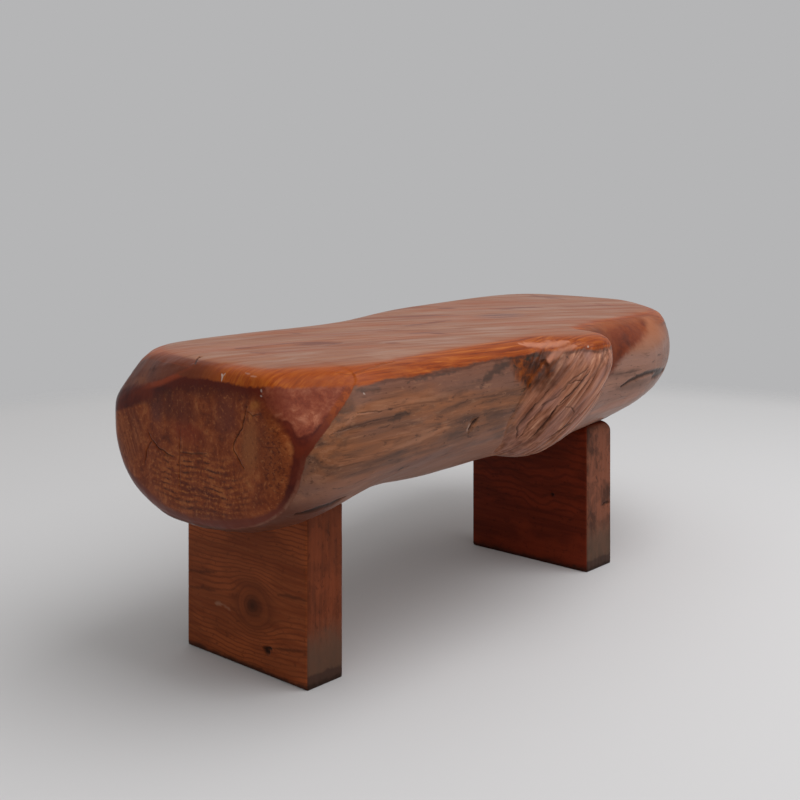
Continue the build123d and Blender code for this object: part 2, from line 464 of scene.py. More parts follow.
def carve_log():
    """The log as a carved mesh, with the masks that its material reads."""
    log = carving_block("seat_log", "carved_log", LOG_VOXEL)
    mesh = log.data
    points = read(mesh.vertices, "co")
    edge_zone = step(0.385, 0.400, points[:, 2])
    firm = near_housing(points, FIRM_MARGIN)
    smooth(mesh, np.where(firm, 0.0, 0.5), 7)
    smooth(mesh, np.where(firm, 0.0, 0.5 * edge_zone), 20)

    def worked(middles, normals):
        """The whole front up to the tail, the near end and the seat's streaks."""
        front = (middles[:, 1] < -0.165) & (middles[:, 2] > 0.24) & (middles[:, 0] < 0.40)
        near = middles[:, 0] < NEAR_END + 0.05
        below = middles[:, 2] < SEAT - 0.001
        return ((front | near) & below) | close_to(middles, normals, SEAT_STREAKS, 0.006)

    def finer(middles, normals):
        """The lobe and the fine marks."""
        return (on_lobe(middles, normals) > 0) | close_to(middles, normals, fine_lines, 0.003)

    def finest(middles, normals):
        """The thinnest marks."""
        return close_to(middles, normals, thin_lines, 0.001)

    fine_lines = CRACKS + NICKS + PAINTED_HIGHLIGHTS + SHARP_SMEARS + BLACK_SPOTS
    thin_lines = tuple(line for line in fine_lines if line.width < 0.0025)
    refine(mesh, worked)
    refine(mesh, finer)
    refine(mesh, finest)
    smooth(mesh, np.where(near_housing(read(mesh.vertices, "co"), FIRM_MARGIN), 0.0, 0.5), 4)
    points = read(mesh.vertices, "co")
    normals = read(mesh.vertices, "normal")

    x, y, z = points.T
    lobe = on_lobe(points, normals)
    seat = step(0.90, 0.985, normals[:, 2]) * step(SEAT - 0.012, SEAT - 0.004, z)
    near_end = near_end_value(points)
    near_zone = step(0.44, 0.56, near_end)
    end = step(-0.90, -0.97, normals[:, 0]) * step(-0.588, -0.597, x)
    scoop = step(0.80, 0.95, normals @ SCOOP_OUT) * step(0.080, 0.110, x) * step(0.43, 0.33, x)
    far_face = step(FAR_END - 0.05, FAR_END - 0.02, x) * step(0.5, 0.85, normals[:, 0])
    skin = (1 - seat) * (1 - near_zone) * (1 - far_face) * (1 - scoop)

    depth = np.zeros(len(points))
    # the natural skin: long shallow flutes and fine fibre
    flutes = fractal(points * (2.6, 20, 20), 3, 3)
    fibre = np.abs(fractal(points * (7, 90, 90), 8, 2))
    depth += skin * (1 - lobe) * (FLUTE_DEPTH * flutes + FIBRE_DEPTH * fibre)
    # the lobe: torn grooves along its own fibres
    side = np.cross(LOBE_LINE, LOBE_AXES[1])
    local = np.stack([points @ LOBE_LINE, points @ LOBE_AXES[1], points @ side], 1)
    wander = 0.30 * noise(local * (7, 8, 12), 21)
    lines = np.stack([local[:, 0] * 4.5, local[:, 1] * 12, local[:, 2] * 66 + wander], 1)
    torn = step(0.84, 1.0, 1 - np.abs(noise(lines, 5)))
    fine = step(0.72, 1.0, 1 - np.abs(noise(lines * (1.6, 1, 2.7), 15)))
    waves = noise(local * (6, 10, 30), 31)
    depth += lobe * (GROOVE_DEPTH * torn + FINE_GROOVE_DEPTH * fine + LOBE_WAVE_DEPTH * waves)
    # the end faces: uneven from the saw, and the hewn planes nearly flat
    depth += (end + far_face) * END_DEPTH * fractal(points * (20, 14, 14), 40, 2)
    depth += (near_zone * (1 - end) + scoop) * HEWN_DEPTH * (1 + fractal(points * (16, 16, 16), 44, 2))
    # the seat: planed by hand, so it is not quite flat
    depth += seat * SEAT_DEPTH * (1 + fractal(points * (4, 13, 1), 50, 2))
    cracks = lines_on(points, normals, CRACKS)
    depth += CRACK_DEPTH * cracks + lines_on(points, normals, VALLEYS)

    depth[near_housing(points, FLAT_MARGIN)] = 0
    points = np.clip(points - normals * depth[:, None], LOG_LOW, LOG_HIGH)
    move_points(mesh, points)

    masks = {
        "lobe": lobe,
        "grooves": lobe * np.maximum(0.8 * torn, 0.45 * fine),
        "cracks": cracks,
        "far_face": far_face,
        "scoop": scoop,
        "near_end": near_end,
        "corner_edge": step(-0.05, -0.35, normals[:, 1]) * step(-0.08, -0.12, y),
    }
    for name, lines, wobble in (
        ("smears", SMEARS, 0.004),
        ("spots", BLACK_SPOTS, 0.004),
        ("nicks", NICKS, 0.0004),
        ("painted_highlights", PAINTED_HIGHLIGHTS, 0.002),
        ("seat_streaks", SEAT_STREAKS, 0.004),
    ):
        masks[name] = lines_on(points, normals, lines, wobble)
    for name, area in AREAS.items():
        masks[name] = area_on(points, normals, area)
    for name, values in masks.items():
        store(mesh, name, values)
    mesh.shade_smooth()
    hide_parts("seat_log")
    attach(log, "root")
    return log


# ---- Legs -------------------------------------------------------------------
NEAR_CHIPS = drawn("end", (4, 1.0, (-78, 35), (-95, 37)), (6, 1.0, (-82, 32), (-91, 31)))
NEAR_SCRATCHES = drawn("end", (4, 0.8, (21, 72), (14, 74), (6, 74)), (2.6, 0.5, (3, 74), (-12, 71)))
NEAR_HAIRS = drawn(
    "end",
    (3, 0.8, (83, 106), (52, 110), (18, 116)),
    (3, 0.7, (83, 83), (52, 87), (20, 90)),
    (3.2, 0.9, (-108, 113), (-141, 116), (-165, 117)),
    (3, 0.8, (-100, 39), (-128, 44), (-165, 52)),
)
FAR_CHIPS = drawn("front", (3.4, 0.8, (212, 105), (224, 108), (236, 107)))
FAR_CHIPS += drawn("end", (5, 0.9, (-91, 121), (-96, 121)))

LEG_VOXEL = 0.0021
CHIP_DEPTH = 0.0030
HAIR_DEPTH = 0.0003
SAWN_DEPTH = 0.00025


def carve_leg(node, name, chips=(), scratches=(), hairs=()):
    """A leg's board as a mesh, with sawn edges, eased corners and chips."""
    leg = carving_block(node, name, LEG_VOXEL)
    mesh = leg.data
    smooth(mesh, 0.5, 3)
    points = read(mesh.vertices, "co")
    normals = read(mesh.vertices, "normal")
    narrow = step(0.5, 0.8, np.abs(normals[:, 1]))
    chipped = lines_on(points, normals, chips)
    lined = lines_on(points, normals, hairs)
    sawn = narrow * (1 + fractal(points * (160, 1, 14), 81, 2))
    points = points - normals * (CHIP_DEPTH * chipped + HAIR_DEPTH * lined + SAWN_DEPTH * sawn)[:, None]
    low, high = (np.array(corner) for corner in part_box(node))
    move_points(mesh, np.clip(points, low, high))
    store(mesh, "narrow", narrow)
    store(mesh, "chips", chipped)
    store(mesh, "hairs", lined)
    store(mesh, "scratches", lines_on(points, normals, scratches, 0.0005))
    mesh.shade_smooth()
    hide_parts(node)
    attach(leg, "root")
    return leg


# ---- Materials --------------------------------------------------------------
SEAT_KNOT = (-0.372, -0.024)  # X, and Y once the grain's sweep is taken off
PITH = (-0.070, 0.378)  # Y and Z of the middle of the near end's growth rings
FAR_PITH = (0.090, 0.395)  # and of the far end's
RING_SPREAD = 1.55  # how much wider than tall the near end's rings are
RING_PERIOD = 0.0074
END_SPOT_DEPTH = 0.2  # how far into the log a spot on the end grain reaches


def colour(red, green, blue):
    """A colour given in the usual 0 to 255, as the shader's linear one."""
    values = [v / 255 for v in (red, green, blue)]
    return tuple(v / 12.92 if v <= 0.04045 else ((v + 0.055) / 1.055) ** 2.4 for v in values) + (1.0,)


def scaled(tone, share):
    """A colour made darker or lighter."""
    return tuple(value * share for value in tone)


def add_node(tree, kind, inputs=None, **settings):
    """A new shader node with its settings made, and its inputs set or linked to outputs."""
    node = tree.nodes.new("ShaderNode" + kind)
    for key, value in settings.items():
        setattr(node, key, value)
    for key, value in (inputs or {}).items():
        if isinstance(value, bpy.types.NodeSocket):
            tree.links.new(value, node.inputs[key])
        else:
            node.inputs[key].default_value = value
    return node


class Paint:
    """Builds one procedural material. Each method adds nodes and returns an output."""

    def __init__(self, name):
        self.material = bpy.data.materials.new(name)
        self.material.use_nodes = True
        self.tree = self.material.node_tree
        self.tree.nodes.clear()
        self.place = self.add("TexCoord").outputs["Object"]
        self.x, self.y, self.z = self.split(self.place)

    def add(self, kind, inputs=None, **settings):
        return add_node(self.tree, kind, inputs, **settings)

    def split(self, vector):
        return self.add("SeparateXYZ", {0: vector}).outputs

    def join(self, x, y, z=0.0):
        return self.add("CombineXYZ", {0: x, 1: y, 2: z}).outputs[0]

    def mask(self, name):
        """A mask that was stored on the mesh."""
        return self.add("Attribute", attribute_name=name).outputs["Fac"]

    def math(self, operation, first, second=0.0):
        return self.add("Math", {0: first, 1: second}, operation=operation).outputs[0]

    def minus(self, first, second):
        return self.math("SUBTRACT", first, second)

    def times(self, *values):
        total = values[0]
        for value in values[1:]:
            total = self.math("MULTIPLY", total, value)
        return total

    def plus(self, first, second, share=1.0):
        """The first value and a share of the second."""
        return self.add("Math", {0: second, 1: share, 2: first}, operation="MULTIPLY_ADD").outputs[0]

    def most(self, first, second):
        return self.math("MAXIMUM", first, second)

    def noise(self, vector, detail, rough, bend):
        inputs = {"Vector": vector, "Scale": 1.0, "Detail": detail, "Roughness": rough, "Distortion": bend}
        return self.add("TexNoise", inputs).outputs[0]

    def local(self, vector, centre, turn, size):
        """A place seen from a centre, with turned axes and in units of a size along each."""
        inputs = {"Vector": vector, "Location": centre, "Rotation": turn, "Scale": size}
        return self.add("Mapping", inputs, vector_type="TEXTURE").outputs[0]

    def grain(self, scale, detail=4.0, rough=0.6, bend=0.4):
        """Noise with its own number of waves per metre along X, Y and Z."""
        vector = self.add("Mapping", {"Vector": self.place, "Scale": scale}).outputs[0]
        return self.noise(vector, detail, rough, bend)

    def turned_grain(self, line, wave, detail=4.0):
        """Noise drawn out along a line, with its own wave length each way in metres."""
        turn = Vector(line).to_track_quat("X", "Z").to_euler()
        return self.noise(self.local(self.place, (0, 0, 0), turn, wave), detail, 0.6, 0.3)

    def rise(self, value, low, high, out_low=0.0, out_high=1.0):
        """out_low at low, out_high at high and a smooth rise between."""
        ends = {0: value, 1: low, 2: high, 3: out_low, 4: out_high}
        return self.add("MapRange", ends, interpolation_type="SMOOTHSTEP").outputs[0]

    def ramp(self, value, *stops):
        """The colour for a value, from rows of position, red, green and blue."""
        node = self.add("ValToRGB", {0: value})
        elements = node.color_ramp.elements
        while len(elements) < len(stops):
            elements.new(0.5)
        for element, (position, *tone) in zip(elements, stops):
            element.position = position
            element.color = colour(*tone)
        return node.outputs[0]

    def over(self, tone, mask, new, strength=1.0):
        """A new colour laid over a tone where the mask is, up to a strength."""
        if strength != 1.0:
            mask = self.math("MULTIPLY", mask, strength)
        return self.add("Mix", {0: mask, 6: tone, 7: new}, data_type="RGBA").outputs[2]

    def tint(self, tone, *layers):
        """A tone with layers over it in turn.

        A layer is a mask, or a value and where the mask starts and ends on it,
        then a colour or the output that gives one, then a strength.
        """
        for *mask, new, strength in layers:
            mask = self.rise(*mask) if len(mask) > 1 else mask[0]
            if isinstance(new, tuple):
                new = colour(*new)
            tone = self.over(tone, mask, new, strength)
        return tone

    def wave(self, value, period):
        return self.math("SINE", self.times(value, 2 * math.pi / period))

    def spot(self, warped, centre, half, turn, soft):
        """1 inside an ellipsoid with these half sizes, turned about X, fading out over its outer part."""
        local = self.local(warped, centre, (math.radians(turn), 0, 0), half)
        length = self.add("VectorMath", {0: local}, operation="LENGTH").outputs["Value"]
        return self.rise(length, 1.0, 1.0 - soft)

    def warp(self, scale, amount):
        """The object's own coordinates, pushed about by noise."""
        push = self.add("TexNoise", {"Vector": self.place, "Scale": scale, "Detail": 3.0}).outputs["Color"]
        centred = self.add("VectorMath", {0: push, 1: (0.5, 0.5, 0.5)}, operation="SUBTRACT")
        pushed = self.add("VectorMath", {0: centred.outputs[0], "Scale": amount}, operation="SCALE")
        return self.add("VectorMath", {0: self.place, 1: pushed.outputs[0]}, operation="ADD").outputs[0]

    def frayed(self, name, amount):
        """An area's value, pushed about by noise."""
        ragged = self.grain((90, 90, 90), 4, 0.6)
        return self.plus(self.mask(name), self.minus(ragged, 0.5), amount)

    def inside(self, name, amount, soft):
        """1 inside an area, with a frayed edge."""
        low = self.minus(0.5, soft)
        return self.rise(self.frayed(name, amount), low, self.math("ADD", 0.5, soft))

    def parted(self, along, across, radius, stretch):
        """Level grain lines that part round a knot, each with one value, and the distance from the knot."""
        along = self.math("DIVIDE", along, stretch)
        square = self.plus(self.times(along, along), self.times(across, across))
        share = self.minus(1.0, self.math("DIVIDE", radius**2, self.plus(square, 1e-6)))
        return self.times(across, self.most(share, 0.0)), self.math("SQRT", square)

    def finish(self, base, roughness, height, bump, specular):
        relief = self.add("Bump", {"Height": height, "Strength": bump, "Distance": 0.001})
        looks = {"Base Color": base, "Roughness": roughness, "Specular IOR Level": specular}
        shader = self.add("BsdfPrincipled", looks | {"Normal": relief.outputs[0]})
        self.add("OutputMaterial", {0: shader.outputs[0]})
        return self.material


def side_tone(paint):
    """The bare weathered side of the log."""
    fibre = paint.grain((4, 70, 70))
    fine = paint.grain((14, 230, 230))
    wide = paint.grain((2.2, 16, 16), 3, 0.55)
    flecks = paint.grain((45, 170, 170), 4, 0.7)
    tail = paint.times(paint.rise(paint.x, 0.07, 0.14), paint.rise(wide, 0.36, 0.60, 0.95, 0.55))
    below = paint.times(paint.rise(paint.x, -0.49, -0.54), paint.rise(paint.z, 0.290, 0.258))
    smears = paint.times(paint.mask("smears"), paint.rise(fibre, 0.68, 0.40, 0.35, 1.0))
    return paint.tint(
        paint.ramp(fibre, (0.30, 80, 52, 40), (0.42, 110, 72, 52), (0.56, 134, 84, 56), (0.72, 152, 102, 74)),
        (wide, 0.44, 0.60, (108, 78, 68), 0.75),
        (paint.z, 0.33, 0.27, (136, 96, 82), 0.55),
        (tail, (143, 107, 94), 1.0),
        (fine, 0.56, 0.70, (168, 122, 92), 0.28),
        (fine, 0.44, 0.30, (62, 40, 30), 0.55),
        (flecks, 0.60, 0.68, (52, 32, 26), 0.6),
        (flecks, 0.40, 0.28, (170, 124, 96), 0.3),
        (paint.z, 0.37, 0.41, (108, 62, 42), 0.40),
        (paint.z, 0.31, 0.25, (152, 110, 92), 0.42),
        (below, (86, 42, 26), 0.9),
        (smears, (62, 46, 40), 0.9),
    )


def lobe_tone(paint):
    """The torn burl: strands of pale and brown wood along its own fibres."""
    strands = paint.turned_grain(LOBE_LINE, (0.14, 0.008, 0.0055), 5.0)
    broad = paint.turned_grain(LOBE_LINE, (0.10, 0.05, 0.035), 2.0)
    tone = paint.ramp(
        strands, (0.28, 92, 48, 32), (0.42, 134, 84, 62), (0.54, 160, 106, 82), (0.70, 192, 140, 112)
    )
    return paint.tint(tone, (paint.rise(broad, 0.44, 0.62), (146, 104, 94), 0.6))


def stain_layer(paint):
    """The orange-brown stain, with dark flecks, that spills over the lobe's upper left."""
    flecks = paint.turned_grain(LOBE_LINE, (0.028, 0.013, 0.013), 5.0)
    stain = paint.ramp(flecks, (0.36, 38, 18, 10), (0.47, 78, 34, 8), (0.57, 112, 50, 6), (0.72, 146, 78, 20))
    place = paint.spot(paint.warp(38, 0.040), (-0.126, -0.255, 0.396), (0.056, 0.08, 0.050), 0, 0.5)
    return place, stain, 0.95


def seat_tone(paint):
    """The planed seat's colour, with its grain parting round a knot, patches of painted sheen, and the
    streaks in it.
    """
    past = paint.math("ADD", paint.x, 0.5)
    sweep = paint.plus(paint.times(past, 0.20), paint.times(past, past), 0.26)
    along = paint.minus(paint.x, SEAT_KNOT[0])
    lines, ring = paint.parted(along, paint.minus(paint.plus(paint.y, sweep), SEAT_KNOT[1]), 0.016, 2.2)

    def threaded(along, across, layer, detail, rough, bend):
        vector = paint.join(paint.times(paint.x, along), paint.times(lines, across), layer)
        return paint.noise(vector, detail, rough, bend)

    flow = threaded(4.0, 20.0, 0.0, 4, 0.55, 0.9)
    streaks = threaded(7.0, 60.0, 4.0, 3, 0.6, 1.0)
    threads = threaded(5.0, 190.0, 6.0, 3, 0.6, 0.4)
    patches_and_sheen = threaded(3.6, 11.0, 8.0, 4, 0.55, 0.8)
    tone = paint.tint(
        paint.ramp(flow, (0.30, 126, 62, 30), (0.44, 142, 84, 52), (0.56, 148, 94, 64), (0.70, 156, 106, 80)),
        # pinkish-grey patches: a painted sheen where the lacquer catches the light; the orange ones below are
        # the wood's own
        (patches_and_sheen, 0.48, 0.62, (156, 112, 90), 0.8),
        (patches_and_sheen, 0.50, 0.36, (150, 76, 32), 0.65),
        (streaks, 0.61, 0.72, (108, 52, 28), 0.45),
        (streaks, 0.40, 0.30, (164, 112, 86), 0.25),
        (threads, 0.52, 0.66, (112, 54, 28), 0.35),
        (threads, 0.46, 0.34, (168, 116, 88), 0.25),
        (ring, 0.020, 0.006, (104, 50, 34), 0.7),
    )
    flat = paint.join(paint.x, paint.y)
    broken = paint.rise(streaks, 0.38, 0.54)
    for place, half, shade, strength in (
        ((0.125, -0.010), (0.075, 0.050), (104, 66, 60), 0.9),
        ((0.270, 0.040), (0.060, 0.022), (104, 56, 40), 0.5),
        ((0.030, 0.090), (0.060, 0.016), (122, 60, 38), 0.5),
        ((0.495, 0.150), (0.030, 0.060), (92, 50, 36), 0.6),
    ):
        mark = paint.spot(flat, (*place, 0.0), (*half, 1.0), 0.0, 0.8)
        tone = paint.tint(tone, (paint.times(mark, broken), shade, strength))
    torn = paint.times(paint.rise(threads, 0.36, 0.52, 0.25, 1.0), paint.rise(streaks, 0.34, 0.50, 0.4, 1.0))
    drawn_streaks = paint.mask("seat_streaks")
    tone = paint.tint(
        tone,
        (drawn_streaks, 0.0, 0.6, (142, 72, 38), 0.45),
        (paint.times(drawn_streaks, torn), 0.05, 0.80, (104, 48, 26), 0.8),
    )
    return tone, streaks


def end_tone(paint, warped):
    """End grain: broken rings below the pith, checks and a dark upper part."""
    _, y, z = paint.split(paint.warp(13, 0.027))
    wide = paint.math("DIVIDE", paint.math("ABSOLUTE", paint.minus(y, PITH[0])), RING_SPREAD)
    tall = paint.math("ABSOLUTE", paint.minus(z, PITH[1]))
    cubes = paint.plus(paint.math("POWER", wide, 3.0), paint.math("POWER", tall, 3.0))
    wave = paint.wave(paint.math("POWER", cubes, 1 / 3), RING_PERIOD)
    mottle = paint.grain((10, 42, 42), 4, 0.7)
    speckle = paint.grain((10, 190, 190), 3, 0.7)
    steep = paint.turned_grain((0, -0.45, -0.89), (0.05, 0.05, 0.0055), 3.0)

    def place(centre, half, turn, soft):
        return paint.spot(warped, (NEAR_END, *centre), (END_SPOT_DEPTH, *half), turn, soft)

    tone = paint.tint(
        paint.ramp(mottle, (0.30, 88, 34, 12), (0.43, 116, 50, 20), (0.56, 138, 68, 32), (0.70, 162, 94, 52)),
        (
            place((0.066, 0.315), (0.040, 0.058), 10, 0.7),
            paint.ramp(steep, (0.40, 98, 42, 22), (0.60, 142, 78, 46)),
            0.75,
        ),
    )
    for centre, half, turn, shade, strength in (
        ((-0.070, 0.408), (0.150, 0.032), 0, (70, 18, 10), 0.9),
        ((0.050, 0.380), (0.050, 0.022), 12, (80, 24, 12), 0.8),
        ((-0.058, 0.340), (0.048, 0.024), 8, (122, 46, 22), 0.7),
        ((-0.135, 0.368), (0.034, 0.038), 10, (104, 48, 34), 0.75),
        ((0.002, 0.362), (0.020, 0.030), 20, (98, 50, 42), 0.7),
        ((-0.022, 0.372), (0.010, 0.026), 10, (70, 24, 14), 0.6),
        ((-0.020, 0.370), (0.075, 0.030), 12, (82, 32, 18), 0.65),
        ((-0.214, 0.325), (0.030, 0.050), 0, (112, 52, 24), 0.6),
        ((-0.050, 0.368), (0.050, 0.024), 6, (96, 38, 20), 0.5),
        ((-0.180, 0.336), (0.024, 0.050), 4, (142, 84, 48), 0.8),
        ((-0.188, 0.386), (0.013, 0.008), -20, (164, 98, 44), 0.7),
        ((-0.085, 0.266), (0.075, 0.008), 4, (84, 26, 12), 0.6),
        ((-0.120, 0.240), (0.110, 0.010), 4, (84, 30, 16), 0.5),
    ):
        tone = paint.tint(tone, (place(centre, half, turn, 0.75), shade, strength))
    column = place((-0.222, 0.325), (0.030, 0.066), -6, 0.6)
    pores = paint.rise(paint.grain((10, 150, 240), 4, 0.7), 0.50, 0.60)

    # the rings themselves, only where they show
    dashes = paint.grain((10, 44, 120), 4, 0.7)
    shown = place((-0.082, 0.274), (0.122, 0.054), 0, 0.45)
    patchy = paint.rise(mottle, 0.40, 0.56, 0.25, 1.0)
    rings = paint.times(paint.rise(wave, 0.05, 0.85), paint.rise(dashes, 0.44, 0.55), shown, patchy)
    bright = paint.times(paint.rise(wave, -0.2, -0.9), paint.rise(speckle, 0.42, 0.6), shown)
    return paint.tint(
        tone,
        (column, (132, 64, 26), 0.55),
        (paint.times(column, pores), (74, 22, 8), 0.75),
        (rings, (58, 22, 10), 0.8),
        (bright, (166, 96, 46), 0.65),
        (speckle, 0.55, 0.68, (176, 108, 64), 0.45),
        (speckle, 0.44, 0.30, (60, 20, 8), 0.5),
    )


def near_end_tone(paint, tone):
    """The near end over a tone: its bevel, its two hewn facets, the pink one partly a painted reflection, its
    end grain, and painted highlights along the ridge and along the edge to the front side.
    """
    blotch = paint.grain((24, 24, 24), 3, 0.6)
    mottle = paint.grain((60, 60, 60), 5, 0.75)
    bevel = paint.tint(
        paint.ramp(blotch, (0.34, 58, 14, 6), (0.50, 74, 20, 8), (0.66, 98, 34, 15)),
        (paint.z, 0.385, 0.400, (86, 24, 6), 0.85),
        (paint.z, 0.30, 0.25, (110, 50, 34), 0.8),
    )
    # The pink facet: hewn reddish wood whose pale pink mottle is partly a painted reflection of the room.
    pink_and_reflection = paint.tint(
        paint.ramp(
            mottle, (0.32, 90, 36, 22), (0.45, 128, 58, 36), (0.56, 148, 80, 54), (0.70, 180, 114, 86)
        ),
        (blotch, 0.56, 0.40, (112, 46, 28), 0.6),
        (paint.x, -0.565, -0.600, (96, 38, 24), 0.55),
    )
    dusky = paint.tint(
        paint.ramp(blotch, (0.35, 88, 48, 38), (0.55, 108, 62, 48), (0.70, 124, 72, 50)),
        (mottle, 0.47, 0.33, (58, 26, 18), 0.75),
        (paint.y, 0.06, -0.05, (102, 44, 20), 0.9),
    )
    # A painted highlight along the ridge where the dusky facet meets the end grain.
    ridge_highlight = paint.times(
        paint.rise(paint.mask("dusky_facet"), 0.10, 0.34),
        paint.rise(paint.mask("dusky_facet"), 0.62, 0.44),
        paint.rise(paint.y, 0.050, 0.005),
        paint.rise(paint.y, -0.095, -0.070),
    )
    soft = paint.rise(paint.z, 0.350, 0.385, 0.10, 0.42)
    # A painted highlight in a strip along the edge where the bevel meets the front side: pale low down, dark
    # in its middle, orange at the top.
    value = paint.frayed("near_end", 0.10)
    inner = paint.minus(value, paint.rise(paint.z, 0.30, 0.40, -0.04, 0.14))
    highlight_strip = paint.times(paint.rise(value, 0.46, 0.52), paint.rise(inner, 0.70, 0.58))
    highlight_strip = paint.times(highlight_strip, paint.mask("corner_edge"))
    edge_highlight = paint.tint(
        paint.ramp(
            paint.rise(paint.z, 0.25, 0.42),
            (0.05, 126, 84, 66), (0.25, 122, 66, 48), (0.50, 86, 32, 17), (0.72, 98, 36, 14),
            (0.95, 156, 72, 22),
        ),
        (mottle, 0.54, 0.38, (96, 34, 16), 0.6),
    )
    return paint.tint(
        tone,
        (paint.inside("near_end", 0.15, 0.05), bevel, 1.0),
        (paint.inside("pink_facet", 0.35, 0.08), pink_and_reflection, 1.0),
        (paint.inside("dusky_facet", 0.5, 0.20), dusky, 1.0),
        (ridge_highlight, (150, 62, 28), 0.7),
        (paint.inside("end_grain", 0.25, soft), end_tone(paint, paint.warp(30, 0.010)), 1.0),
        (highlight_strip, edge_highlight, 0.88),
    )


def joint_shadow_layer(paint, low, high):
    """A painted shadow in the gap round a leg's head, under the log."""
    gaps = []
    for value, start, end in zip((paint.x, paint.y), low, high):
        off_centre = paint.minus(value, (start + end) / 2)
        gaps.append(paint.minus(paint.math("ABSOLUTE", off_centre), (end - start) / 2))
    joint_shadow = paint.times(
        paint.rise(paint.most(*gaps), 0.010, 0.002), paint.rise(paint.z, high[2] + 0.04, high[2] + 0.02)
    )
    return joint_shadow, (40, 20, 14), 0.85


def scoop_layers(paint):
    """The hewn scoop beyond the lobe, pale with a dark stain; the pale pink low on it is partly a painted
    highlight.
    """
    hewn = paint.tint(
        paint.ramp(
            paint.grain((18, 18, 26), 4, 0.6),
            (0.34, 80, 30, 12), (0.50, 108, 44, 16), (0.64, 128, 60, 26), (0.76, 144, 80, 44),
        ),
        (paint.x, 0.20, 0.13, (86, 44, 28), 0.6),
        (paint.z, 0.412, 0.424, (148, 78, 36), 0.6),
    )
    # pale pink-grey low down, orange higher up: partly the wood, partly a painted highlight low on the scoop
    pale = paint.over(colour(138, 96, 76), paint.rise(paint.z, 0.36, 0.42), colour(158, 92, 56))
    return (paint.mask("scoop"), pale, 0.85), (paint.inside("scoop_stain", 0.45, 0.34), hewn, 1.0)


def far_end_layer(paint):
    """The far end's face, rough and brown, with rings."""
    sawn = paint.grain((10, 60, 60), 4, 0.7)
    far = paint.ramp(sawn, (0.32, 84, 46, 28), (0.48, 118, 68, 42), (0.64, 146, 94, 62))
    centre = paint.minus(paint.y, FAR_PITH[0])
    height = paint.minus(paint.z, FAR_PITH[1])
    reach = paint.math("SQRT", paint.plus(paint.times(centre, centre), paint.times(height, height)))
    rings = paint.rise(paint.wave(paint.plus(reach, sawn, 0.012), RING_PERIOD), 0.0, 0.9)
    far = paint.tint(far, (paint.times(rings, paint.rise(sawn, 0.36, 0.58)), (70, 34, 20), 0.6))
    return paint.mask("far_face"), 0.35, 0.65, far, 0.85


def arris_layers(paint):
    """The rounded edge of the seat and the shade under it."""
    strands = paint.grain((8, 210, 210), 4, 0.65, 0.2)
    fan = paint.grain((26, 240, 40), 4, 0.65, 0.3)
    fan = paint.ramp(fan, (0.32, 96, 32, 6), (0.46, 134, 56, 8), (0.62, 168, 92, 28))
    turning = paint.times(paint.rise(paint.x, -0.55, -0.58), paint.rise(paint.y, -0.14, -0.06))
    edge = paint.tint(
        paint.ramp(strands, (0.30, 98, 34, 6), (0.44, 134, 56, 8), (0.56, 152, 72, 14), (0.72, 176, 98, 34)),
        (paint.math("ABSOLUTE", paint.x), 0.51, 0.57, fan, 1.0),
        (paint.grain((9, 30, 30)), 0.52, 0.64, (150, 78, 34), 0.5),
        (paint.x, -0.42, -0.51, (162, 72, 8), 0.45),
        (turning, (95, 41, 21), 0.85),
    )
    ragged = paint.plus(paint.z, paint.grain((16, 60, 40), 4, 0.65), 0.014)
    facets = paint.most(paint.rise(paint.mask("dusky_facet"), 0.30, 0.75), paint.mask("scoop"))
    clear = paint.minus(1.0, facets)
    shade = paint.times(paint.rise(ragged, 0.4095, 0.4130), clear, paint.rise(paint.x, -0.50, -0.46))
    return (shade, (74, 38, 26), 0.6), (paint.times(paint.rise(ragged, 0.4135, 0.4175), clear), edge, 1.0)


def log_material():
    paint = Paint("lacquered_log")
    tone = paint.tint(
        side_tone(paint),
        (paint.mask("lobe"), lobe_tone(paint), 1.0),
        stain_layer(paint),
        (paint.mask("spots"), (36, 30, 22), 0.85),
        # a painted shadow in the gap round each leg's head
        *(joint_shadow_layer(paint, *box) for box in LEG_BOXES),
        *scoop_layers(paint),
    )
    seat, streaks = seat_tone(paint)
    tone = paint.tint(
        near_end_tone(paint, tone),
        far_end_layer(paint),
        *arris_layers(paint),
        # the painted highlights
        (paint.mask("painted_highlights"), (192, 128, 102), 0.8),
        (paint.z, 0.4262, 0.4286, seat, 1.0),
        # the lobe's grooves painted dark: partly the torn wood, partly painted shade in them
        (paint.mask("grooves"), (66, 32, 20), 0.65),
        # the cracks, near-black: partly painted shade inside them
        (paint.mask("cracks"), (34, 18, 12), 0.85),
        (paint.mask("nicks"), (196, 180, 170), 0.85),
    )
    roughness = paint.rise(streaks, 0.35, 0.65, 0.30, 0.42)
    return paint.finish(tone, roughness, paint.grain((9, 150, 150)), 0.22, 0.12)


